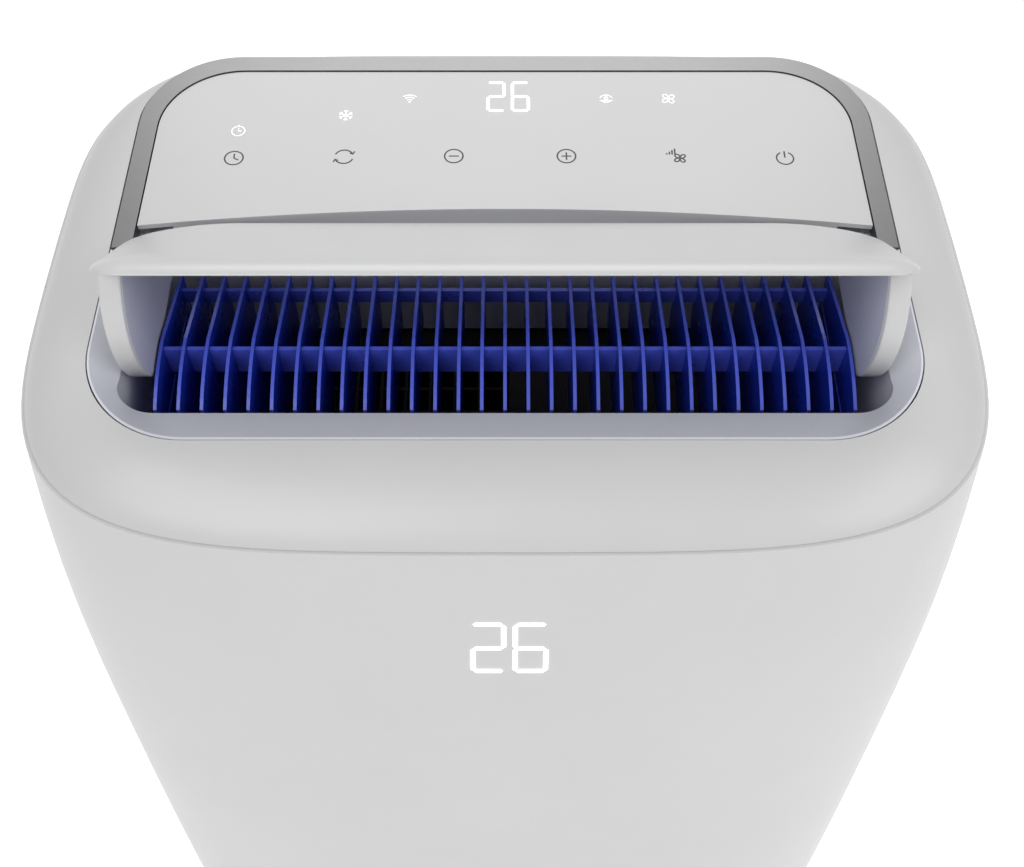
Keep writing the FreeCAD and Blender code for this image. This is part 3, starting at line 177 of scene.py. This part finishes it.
def buildMetalGroup():
    # drawn or rolled metal: fine lines along one axis and soft tarnish
    group, ins, outs = makeGroup("workedMetal",
                                 (("Colour", (0.7, 0.7, 0.7, 1)), ("Tarnish", (0.4, 0.4, 0.4, 1)),
                                  ("Tarnish Amount", 0.3), ("Rough", 0.3), ("Rough Spread", 0.15)),
                                 surfaceOutputs)
    links = group.links
    place = group.nodes.new("ShaderNodeTexCoord")
    stretch = group.nodes.new("ShaderNodeMapping")
    stretch.inputs["Scale"].default_value = (40, 900, 900)
    links.new(place.outputs["Object"], stretch.inputs["Vector"])
    lines = noiseNode(group, 1, 2)
    stains = noiseNode(group, 26, 5, 0.62)
    links.new(stretch.outputs["Vector"], lines.inputs["Vector"])
    links.new(place.outputs["Object"], stains.inputs["Vector"])
    amount = group.nodes.new("ShaderNodeMath")
    amount.operation = "MULTIPLY"
    links.new(stains.outputs["Fac"], amount.inputs[0])
    links.new(ins.outputs["Tarnish Amount"], amount.inputs[1])
    mix = group.nodes.new("ShaderNodeMix")
    mix.data_type = "RGBA"
    links.new(amount.outputs["Value"], mix.inputs["Factor"])
    links.new(ins.outputs["Colour"], mix.inputs["A"])
    links.new(ins.outputs["Tarnish"], mix.inputs["B"])
    links.new(mix.outputs["Result"], outs.inputs["Colour"])
    spread = group.nodes.new("ShaderNodeMath")
    spread.operation = "MULTIPLY_ADD"
    links.new(lines.outputs["Fac"], spread.inputs[0])
    links.new(ins.outputs["Rough Spread"], spread.inputs[1])
    links.new(ins.outputs["Rough"], spread.inputs[2])
    links.new(spread.outputs["Value"], outs.inputs["Roughness"])
    links.new(lines.outputs["Fac"], outs.inputs["Height"])
    return group


mouldGroup = buildMouldGroup()
metalGroup = buildMetalGroup()


def wire(tree, shader, group, values, bumpHeight):
    node = tree.nodes.new("ShaderNodeGroup")
    node.node_tree = group
    for label, value in values.items():
        node.inputs[label].default_value = value
    bump = tree.nodes.new("ShaderNodeBump")
    bump.inputs["Distance"].default_value = bumpHeight
    bump.inputs["Strength"].default_value = 1
    tree.links.new(node.outputs["Colour"], shader.inputs["Base Color"])
    tree.links.new(node.outputs["Roughness"], shader.inputs["Roughness"])
    tree.links.new(node.outputs["Height"], bump.inputs["Height"])
    tree.links.new(bump.outputs["Normal"], shader.inputs["Normal"])


def plastic(name, colour, rough=0.4, spread=0.08, grain=1800, bump=0.00002, drift=0.03, coat=0):
    material, tree, shader = newMaterial(name)
    wire(tree, shader, mouldGroup, {"Colour": (*colour, 1), "Drift": drift, "Grain Scale": grain,
                                    "Rough": rough, "Rough Spread": spread}, bump)
    shader.inputs["Coat Weight"].default_value = coat
    shader.inputs["Coat Roughness"].default_value = 0.2
    return material


def metal(name, colour, tarnish, rough, amount=0.3, spread=0.15):
    lineDepth = 0.00001
    material, tree, shader = newMaterial(name)
    wire(tree, shader, metalGroup, {"Colour": (*colour, 1), "Tarnish": (*tarnish, 1), "Tarnish Amount": amount,
                                    "Rough": rough, "Rough Spread": spread}, lineDepth)
    shader.inputs["Metallic"].default_value = 1
    return material


def lamp(name, colour, strength):
    # lit mark: its glow varies slightly over the mark
    material, tree, shader = newMaterial(name)
    shader.inputs["Base Color"].default_value = (*colour, 1)
    shader.inputs["Roughness"].default_value = 0.5
    place = tree.nodes.new("ShaderNodeTexCoord")
    glow = noiseNode(tree, 220, 1)
    tree.links.new(place.outputs["Object"], glow.inputs["Vector"])
    ramp = tree.nodes.new("ShaderNodeValToRGB")
    dimmest = 0.9
    ramp.color_ramp.elements[0].color = (*[c * dimmest for c in colour], 1)
    ramp.color_ramp.elements[1].color = (*colour, 1)
    tree.links.new(glow.outputs["Fac"], ramp.inputs["Fac"])
    tree.links.new(ramp.outputs["Color"], shader.inputs["Emission Color"])
    shader.inputs["Emission Strength"].default_value = strength
    return material


def vanePlastic(name, face, paintedEdgeHighlight):
    # tinted blade with painted highlights: the cut edges are painted a lighter blue as if they caught light, the
    # broad faces keep the deep blue
    material, tree, shader = newMaterial(name)
    wire(tree, shader, mouldGroup, {"Colour": (*face, 1), "Drift": 0.12, "Rough": 0.24}, 0.00002)
    place = tree.nodes.new("ShaderNodeTexCoord")
    split = tree.nodes.new("ShaderNodeSeparateXYZ")
    size = tree.nodes.new("ShaderNodeMath")
    size.operation = "ABSOLUTE"
    share = tree.nodes.new("ShaderNodeMapRange")
    share.inputs["From Min"].default_value = 0.35
    share.inputs["From Max"].default_value = 0.75
    mix = tree.nodes.new("ShaderNodeMix")
    mix.data_type = "RGBA"
    # painted highlight: the lighter blue goes where the surface normal points little along x, on the blade edges
    mix.inputs["A"].default_value = (*paintedEdgeHighlight, 1)
    mix.inputs["B"].default_value = (*face, 1)
    group = next(node for node in tree.nodes if node.type == "GROUP")
    tree.links.new(place.outputs["Normal"], split.inputs["Vector"])
    tree.links.new(split.outputs["X"], size.inputs[0])
    tree.links.new(size.outputs["Value"], share.inputs["Value"])
    tree.links.new(share.outputs["Result"], mix.inputs["Factor"])
    tree.links.new(mix.outputs["Result"], group.inputs["Colour"])
    return material


finishes = {
    "casing_white": plastic("casingWhite", (0.585, 0.585, 0.587), rough=0.34, spread=0.06, coat=0.15),
    "flap_white": plastic("flapWhite", (0.60, 0.60, 0.602), rough=0.3, spread=0.05, coat=0.2),
    "casing_grey": plastic("casingGrey", (0.46, 0.46, 0.465), rough=0.45, bump=0.00004),
    "panel_grey": plastic("panelGrey", (0.55, 0.55, 0.552), rough=0.3, spread=0.05, coat=0.2),
    "trim_satin": metal("trimSatin", (0.24, 0.24, 0.242), (0.2, 0.2, 0.2), rough=0.3, spread=0.08),
    # painted shade: the outlet frame is the casing's white-grey plastic, painted darker and tinted lilac for the
    # shade and blue reflection it sits in
    "frame_lilac_grey": plastic("frameLilacShade", (0.66, 0.67, 0.735), rough=0.5, bump=0.00004),
    "vane_blue": vanePlastic("vaneBlue", (0.010, 0.035, 0.42), (0.075, 0.11, 0.64)),
    "dark_plastic": plastic("darkPlastic", (0.012, 0.012, 0.014), rough=0.5),
    "charcoal_plastic": plastic("charcoalPlastic", (0.022, 0.022, 0.026), rough=0.45),
    "circuit_board": plastic("circuitBoard", (0.02, 0.12, 0.05), rough=0.3, drift=0.2, grain=600),
    "sheet_steel": metal("sheetSteel", (0.62, 0.63, 0.64), (0.42, 0.43, 0.45), amount=0.7, rough=0.35,
                         spread=0.2),
    "compressor_black": plastic("compressorBlack", (0.02, 0.02, 0.02), rough=0.28, grain=500, bump=0.00008),
    "soft_rubber": plastic("softRubber", (0.03, 0.03, 0.03), rough=0.7, grain=900, bump=0.00005, drift=0.2),
    "zinc_steel": metal("zincSteel", (0.6, 0.6, 0.58), (0.45, 0.43, 0.36), amount=0.5, rough=0.3),
    "copper_pipe": metal("copperPipe", (0.80, 0.42, 0.27), (0.35, 0.17, 0.10), amount=0.6, rough=0.25),
    "fin_aluminium": metal("finAluminium", (0.75, 0.76, 0.78), (0.55, 0.56, 0.58), amount=0.4, rough=0.3),
    "filter_mesh": plastic("filterMesh", (0.05, 0.05, 0.055), rough=0.8, grain=2600, bump=0.0003, drift=0.4),
    "caster_plastic": plastic("casterPlastic", (0.06, 0.06, 0.063), rough=0.45, grain=900, bump=0.00005),
    "caster_tread": plastic("casterTread", (0.035, 0.035, 0.037), rough=0.6, grain=700, bump=0.00008, drift=0.3),
}
keyInk = plastic("keyInk", (0.055, 0.055, 0.06), rough=0.5)
litWhite = lamp("litWhite", (1, 1, 1), 1.15)
# painted shade: a darker lilac-grey copy of the flap's white, for the shaded outer faces of the cheeks
cheekShade = plastic("cheekShade", (0.53, 0.54, 0.65), rough=0.45)

for part in frame["record"]["subparts"]:
    node = nodes[part["node"]]
    node.data.materials.clear()
    node.data.materials.append(finishes[part["material_slot"]])
print("materials set")


# the outlet flap, stored open

flapSize = dict(half=0.176, front=0.012, rear=0.1204, thick=0.0056, cornerFront=0.016, cornerRear=0.046,
                arc=1.5, sunk=0.0006, open=37.5, hingeT=0.121, hingeN=-0.016, leastCorner=0.003)
cheekSize = dict(thick=0.010, pin=0.003, pinExtra=0.008, bowT=0.0783, bowN=-0.0211, bow=0.0475, bowStart=162,
                 bowSweep=93, bowSteps=24, frontT=0.036, topN=-0.0058, backInset=0.3, bevel=0.0012,
                 faceInset=0.0016, faceHalf=0.0005, faceOut=0.0002, faceBevel=0.0002,
                 back=((0.116, -0.0245), (0.121, -0.023), (0.1255, -0.016), (0.121, -0.012), (0.104, -0.0095),
                       (0.088, -0.0058)))
# the flap's crown: how far in from its edge, how far below the top
flapCrown = ((0.0, -0.0050), (0.0004, -0.0042), (0.0014, -0.0033), (0.0032, -0.0024), (0.0060, -0.0016),
             (0.0095, -0.0009), (0.0138, -0.0004), (0.0190, -0.0001), (0.0260, 0.0))
flapUnder = ((0.0003, -0.0054), (0.0009, -flapSize["thick"]))


def flapMatrix():
    hinge = Vector((0, flapSize["hingeT"], flapSize["hingeN"]))
    swing = (Matrix.Translation(hinge) @ Matrix.Rotation(math.radians(-flapSize["open"]), 4, "X")
             @ Matrix.Translation(-hinge))
    return topMatrix @ swing


def flapRing(bm, inset, height):
    # one closed line round the flap; towards the back its sides follow the panel's arched edge
    size = flapSize
    outline = roundedOutline(size["half"] - inset, size["front"] + inset, size["rear"] - inset,
                             max(size["cornerFront"] - inset, size["leastCorner"]),
                             size["cornerRear"] - inset, steps=16)
    verts = []
    for x, t in outline:
        share = (t - size["front"]) / (size["rear"] - size["front"])
        sag = size["arc"] - math.sqrt(size["arc"] ** 2 - x * x)
        verts.append(bm.verts.new((x, t - sag * share, height - size["sunk"])))
    return verts


def bridge(bm, one, two):
    for i in range(len(one)):
        j = (i + 1) % len(one)
        bm.faces.new((one[i], one[j], two[j], two[i]))


def buildFlapPlate():
    bm = bmesh.new()
    rings = [flapRing(bm, inset, height) for inset, height in flapCrown]
    under = [flapRing(bm, inset, height) for inset, height in flapUnder]
    for one, two in zip(rings, rings[1:]):
        bridge(bm, one, two)
    bm.faces.new(rings[-1])
    bridge(bm, under[0], rings[0])
    bridge(bm, under[1], under[0])
    bm.faces.new(under[1])
    finish("flapPlate", bm, finishes["flap_white"], "flap", flapMatrix(), smooth=50,
           replaced=("air_flap",))


def cheekOutline(inset):
    # round-fronted cheek in (t, n): an arc, then the run back to the hinge and forward under the plate
    size = cheekSize
    bow = []
    for i in range(size["bowSteps"] + 1):
        bearing = math.radians(size["bowStart"] + size["bowSweep"] * i / size["bowSteps"])
        bow.append((size["bowT"] + (size["bow"] - inset) * math.cos(bearing),
                    size["bowN"] + (size["bow"] - inset) * math.sin(bearing)))
    back = [(t, n - inset * size["backInset"]) for t, n in size["back"]]
    return bow + back + [(size["frontT"] + inset, size["topN"])]


def buildCheek(side, word):
    size = cheekSize
    inner = flapSize["half"] - size["thick"]
    bm = bmesh.new()
    addPlate(bm, cheekOutline(0), 0, size["thick"], bevel=size["bevel"], segments=4)
    bmesh.ops.transform(bm, matrix=sideways(inner if side > 0 else -flapSize["half"]), verts=bm.verts[:])
    pinLong = size["thick"] + size["pinExtra"]
    pin = bmesh.ops.create_cone(bm, cap_ends=True, segments=24, radius1=size["pin"], radius2=size["pin"],
                                depth=pinLong)
    turn = Matrix.Translation((side * (inner + pinLong / 2), flapSize["hingeT"], flapSize["hingeN"]))
    bmesh.ops.transform(bm, matrix=turn @ Matrix.Rotation(math.pi / 2, 4, "Y"), verts=pin["verts"])
    finish("flapCheek" + word, bm, finishes["flap_white"], "flap", flapMatrix(),
           replaced=("air_flap",))
    # painted shade: a thin lilac-grey sheet on the cheek's outer side stands in for the shade there
    bm = bmesh.new()
    addPlate(bm, cheekOutline(size["faceInset"]), -size["faceHalf"], size["faceHalf"], bevel=size["faceBevel"],
             segments=2)
    bmesh.ops.transform(bm, matrix=sideways(side * (inner + size["faceOut"])), verts=bm.verts[:])
    finish("flapCheekShade" + word, bm, cheekShade, "flap", flapMatrix())


def buildFlap():
    buildFlapPlate()
    buildCheek(-1, "Left")
    buildCheek(1, "Right")
    print("flap done")


buildFlap()


# key signs, lamps and digits

markSize = dict(keyRadius=0.0047, keyLine=0.0008, keyRow=0.1676, keyBend=0.0015, keyFar=0.141, lampRadius=0.0034,
                lampLine=0.0003, lift=0.00002, faceN=-0.0002, flat=0.25)


def strokes(name, lines, width, matrix, material):
    # round-ended drawn lines, pressed flat and laid on the surface
    curve = bpy.data.curves.new(name + "Line", "CURVE")
    curve.dimensions = "3D"
    curve.bevel_depth = width / 2
    curve.bevel_resolution = 2
    curve.use_fill_caps = True
    for closed, points in lines:
        spline = curve.splines.new("POLY")
        spline.points.add(len(points) - 1)
        for point, (x, y) in zip(spline.points, points):
            point.co = (x, y, 0, 1)
        spline.use_cyclic_u = closed
    holder = bpy.data.objects.new(name + "Line", curve)
    bpy.context.scene.collection.objects.link(holder)
    bpy.context.view_layer.update()
    mesh = bpy.data.meshes.new_from_object(holder)
    bpy.data.objects.remove(holder)
    bm = bmesh.new()
    bm.from_mesh(mesh)
    bpy.data.meshes.remove(mesh)
    bmesh.ops.scale(bm, vec=(1, 1, markSize["flat"]), verts=bm.verts[:])
    bmesh.ops.translate(bm, vec=(0, 0, markSize["lift"]), verts=bm.verts[:])
    finish(name, bm, material, "cabinet", matrix)


def arcLine(x, y, radius, start, end, steps=20):
    bearings = [math.radians(start + (end - start) * i / steps) for i in range(steps + 1)]
    return [(x + radius * math.cos(bearing), y + radius * math.sin(bearing)) for bearing in bearings]


def ringLine(x, y, radius, steps=36):
    return arcLine(x, y, radius, 0, 360 - 360 / steps, steps - 1)


def fanLines(radius):
    # four-bladed fan round a small hub
    blades = 4
    lines = [(True, ringLine(0, 0, radius * 0.16, 12))]
    for i in range(blades):
        turn = 360 / blades * i
        points = []
        for j in range(13):
            share = j / 12
            r = radius * (0.22 + 0.78 * math.sin(math.pi * share) ** 0.7)
            angle = math.radians(turn + 78 * share)
            points.append((r * math.cos(angle), r * math.sin(angle)))
        lines.append((True, points))
    return lines


def keyShapes():
    # each sign is drawn about its own middle, in multiples of the ring's radius
    r = markSize["keyRadius"]
    half = r * 0.55
    timer = [(True, ringLine(0, 0, r)), (False, [(0, r * 0.62), (0, 0), (r * 0.5, -r * 0.3)])]
    cycle = [(False, arcLine(0, 0, r, 25, 160)), (False, arcLine(0, 0, r, 205, 340)),
             (False, [(r * 0.62, r * 0.55), (r * 0.94, r * 0.38), (r * 1.12, r * 0.78)]),
             (False, [(-r * 0.62, -r * 0.55), (-r * 0.94, -r * 0.38), (-r * 1.12, -r * 0.78)])]
    less = [(True, ringLine(0, 0, r)), (False, [(-half, 0), (half, 0)])]
    more = less + [(False, [(0, -half), (0, half)])]
    small, right, down = 0.72, r * 0.35, r * 0.2
    speed = [(closed, [(x * small + right, y * small - down) for x, y in line]) for closed, line in fanLines(r)]
    speed += [(False, [(-r * (1.05 - 0.3 * i), r * 0.35), (-r * (1.05 - 0.3 * i), r * (0.55 + 0.22 * i))])
              for i in range(4)]
    power = [(False, arcLine(0, 0, r * 0.92, 118, 422)), (False, [(0, r * 0.1), (0, r * 1.02)])]
    return (("keyTimer", -0.1385, timer), ("keyCycle", -0.0823, cycle), ("keyLess", -0.0262, less),
            ("keyMore", 0.0314, more), ("keySpeed", 0.0877, speed), ("keyPower", 0.143, power))


def lampShapes():
    r = markSize["lampRadius"]
    timer = [(True, ringLine(0, 0, r)), (False, [(0, r * 0.6), (0, 0), (r * 0.45, 0)]),
             (False, [(0, r), (0, r * 1.3)])]
    snow = []
    for i in range(6):
        angle = math.radians(60 * i + 30)
        c, s = math.cos(angle), math.sin(angle)
        snow.append((False, [(0, 0), (r * 1.1 * c, r * 1.1 * s)]))
        for side in (-0.3, 0.3):
            tip = Vector((r * 1.0 * c - side * r * s, r * 1.0 * s + side * r * c))
            snow.append((False, [(r * 0.62 * c, r * 0.62 * s), (tip.x, tip.y)]))
    wave = [(False, arcLine(0, -r * 0.6, r * k, 48, 132, 10)) for k in (0.55, 1.05, 1.55)]
    wave.append((True, ringLine(0, -r * 0.6, r * 0.1, 8)))
    swing = [(False, arcLine(0, -r * 0.2, r, 20, 160, 12)), (False, [(-r, -r * 0.4), (r, -r * 0.4)]),
             (False, arcLine(0, 0.2 * r, r * 1.0, 215, 325, 10)), (True, ringLine(0, r * 0.1, r * 0.28, 10))]
    fan = fanLines(r * 1.15)
    return (("lampTimer", -0.1385, 0.1855, timer), ("lampSnow", -0.0835, 0.197, snow),
            ("lampWave", -0.0505, 0.209, wave), ("lampSwing", 0.0535, 0.2095, swing),
            ("lampFan", 0.0865, 0.2095, fan))


segmentSets = {"2": "abged", "6": "acdefg"}
panelDigits = dict(x=0.0017, t=0.211, apart=0.0064, wide=0.0098, tall=0.0225, bar=0.0014, faceN=-0.00019)
frontDigits = dict(x=0.002, z=0.635, apart=0.0098, wide=0.0165, tall=0.0365, bar=0.0022, out=0.0001)
barThick = 0.0002


def addDigit(bm, symbol, x, y, wide, tall, bar):
    # seven bars with pointed ends
    gap = bar * 0.16
    halfX, halfY = wide / 2 - bar / 2, tall / 2 - bar / 2
    spots = {"a": (0, halfY, 0), "g": (0, 0, 0), "d": (0, -halfY, 0), "f": (-halfX, halfY / 2, 1),
             "b": (halfX, halfY / 2, 1), "e": (-halfX, -halfY / 2, 1), "c": (halfX, -halfY / 2, 1)}
    for name in segmentSets[symbol]:
        cx, cy, upright = spots[name]
        reach = (halfY / 2 if upright else halfX) - gap
        tip = bar / 2
        loop = ((-reach, 0), (-reach + tip, -tip), (reach - tip, -tip), (reach, 0), (reach - tip, tip),
                (-reach + tip, tip))
        points = [(x + cx + (q if upright else p), y + cy + (p if upright else q)) for p, q in loop]
        addPlate(bm, points if not upright else points[::-1], 0, barThick)


def buildPanelMarks():
    size = markSize
    for name, x, lines in keyShapes():
        t = size["keyRow"] - (x / size["keyFar"]) ** 2 * size["keyBend"]
        strokes(name, lines, size["keyLine"], topMatrix @ Matrix.Translation((x, t, size["faceN"])), keyInk)
    for name, x, t, lines in lampShapes():
        strokes(name, lines, size["lampLine"], topMatrix @ Matrix.Translation((x, t, size["faceN"])),
                litWhite)
    size = panelDigits
    bm = bmesh.new()
    for side, symbol in ((-1, "2"), (1, "6")):
        addDigit(bm, symbol, size["x"] + side * size["apart"], size["t"], size["wide"], size["tall"],
                 size["bar"])
    finish("panelDigits", bm, litWhite, "cabinet",
           topMatrix @ Matrix.Translation((0, 0, size["faceN"])))
    print("panel marks done")


buildPanelMarks()


def frontSurface(x, z):
    # where a line from the front meets the front wall, and which way the wall faces
    start = Vector((x, -0.4, z))
    hit, place, normal, face = nodes["front_shell"].ray_cast(start, Vector((0, 1, 0)))
    return place, -normal if normal.y > 0 else normal


def buildFrontDigits():
    size = frontDigits
    bm = bmesh.new()
    for side, symbol in ((-1, "2"), (1, "6")):
        addDigit(bm, symbol, side * size["apart"], 0, size["wide"], size["tall"], size["bar"])
    middle, normal = frontSurface(size["x"], size["z"])
    across = Vector((1, 0, 0))
    axes = Matrix((across, normal.cross(across), normal)).transposed().to_4x4()
    finish("frontDigits", bm, litWhite, "cabinet",
           Matrix.Translation(middle + normal * size["out"]) @ axes)
    print("front digits done")


buildFrontDigits()


# the stage: pale floor, a room that is darker to the left and right, three soft lamps, one camera

stageSize = dict(floorHalf=40, floorGrey=0.93, floorRough=0.7, floorGlow=0.3, roomAhead=0.66, roomAside=0.36,
                 aim=(0, 0, 0.55))
stageLights = (("keyLight", (-0.9, -1.6, 2.6), 1.6, 22), ("fillLight", (1.6, -1.2, 1.9), 1.4, 14),
               ("backLight", (0.0, 1.8, 2.4), 1.8, 22))
viewCamera = dict(place=(0, -0.4895, 1.1119), tilt=42, lens=42.19, sensor=36, shift=0.0068)


def buildFloor():
    bm = bmesh.new()
    bmesh.ops.create_grid(bm, x_segments=1, y_segments=1, size=stageSize["floorHalf"])
    mesh = bpy.data.meshes.new("studioFloor")
    bm.to_mesh(mesh)
    bm.free()
    floor = bpy.data.objects.new("studioFloor", mesh)
    bpy.context.scene.collection.objects.link(floor)
    material, tree, shader = newMaterial("paleFloor")
    shader.inputs["Base Color"].default_value = (*[stageSize["floorGrey"]] * 3, 1)
    shader.inputs["Roughness"].default_value = stageSize["floorRough"]
    shader.inputs["Emission Color"].default_value = (1, 1, 1, 1)
    shader.inputs["Emission Strength"].default_value = stageSize["floorGlow"]
    mesh.materials.append(material)


def buildRoom():
    world = bpy.data.worlds.new("studioWorld")
    world.use_nodes = True
    tree = world.node_tree
    backdrop = tree.nodes["Background"]
    backdrop.inputs["Color"].default_value = (1, 1, 1, 1)
    place = tree.nodes.new("ShaderNodeTexCoord")
    split = tree.nodes.new("ShaderNodeSeparateXYZ")
    size = tree.nodes.new("ShaderNodeMath")
    size.operation = "ABSOLUTE"
    fall = tree.nodes.new("ShaderNodeMapRange")
    fall.inputs["To Min"].default_value = stageSize["roomAhead"]
    fall.inputs["To Max"].default_value = stageSize["roomAside"]
    tree.links.new(place.outputs["Generated"], split.inputs["Vector"])
    tree.links.new(split.outputs["X"], size.inputs[0])
    tree.links.new(size.outputs["Value"], fall.inputs["Value"])
    tree.links.new(fall.outputs["Result"], backdrop.inputs["Strength"])
    bpy.context.scene.world = world


def buildLights():
    for name, spot, wide, power in stageLights:
        data = bpy.data.lights.new(name, "AREA")
        data.shape = "SQUARE"
        data.size = wide
        data.energy = power
        holder = bpy.data.objects.new(name, data)
        bpy.context.scene.collection.objects.link(holder)
        aim = Vector(stageSize["aim"]) - Vector(spot)
        holder.matrix_world = Matrix.Translation(spot) @ aim.to_track_quat("-Z", "Y").to_matrix().to_4x4()


def buildCamera():
    data = bpy.data.cameras.new("viewCamera")
    data.sensor_width = viewCamera["sensor"]
    data.lens = viewCamera["lens"]
    data.shift_x = viewCamera["shift"]
    holder = bpy.data.objects.new("viewCamera", data)
    holder.location = viewCamera["place"]
    holder.rotation_euler = (math.radians(viewCamera["tilt"]), 0, 0)
    bpy.context.scene.collection.objects.link(holder)
    bpy.context.scene.camera = holder


buildFloor()
buildRoom()
buildLights()
buildCamera()
print("stage done")
bpy.context.scene.view_settings.view_transform = "Standard"
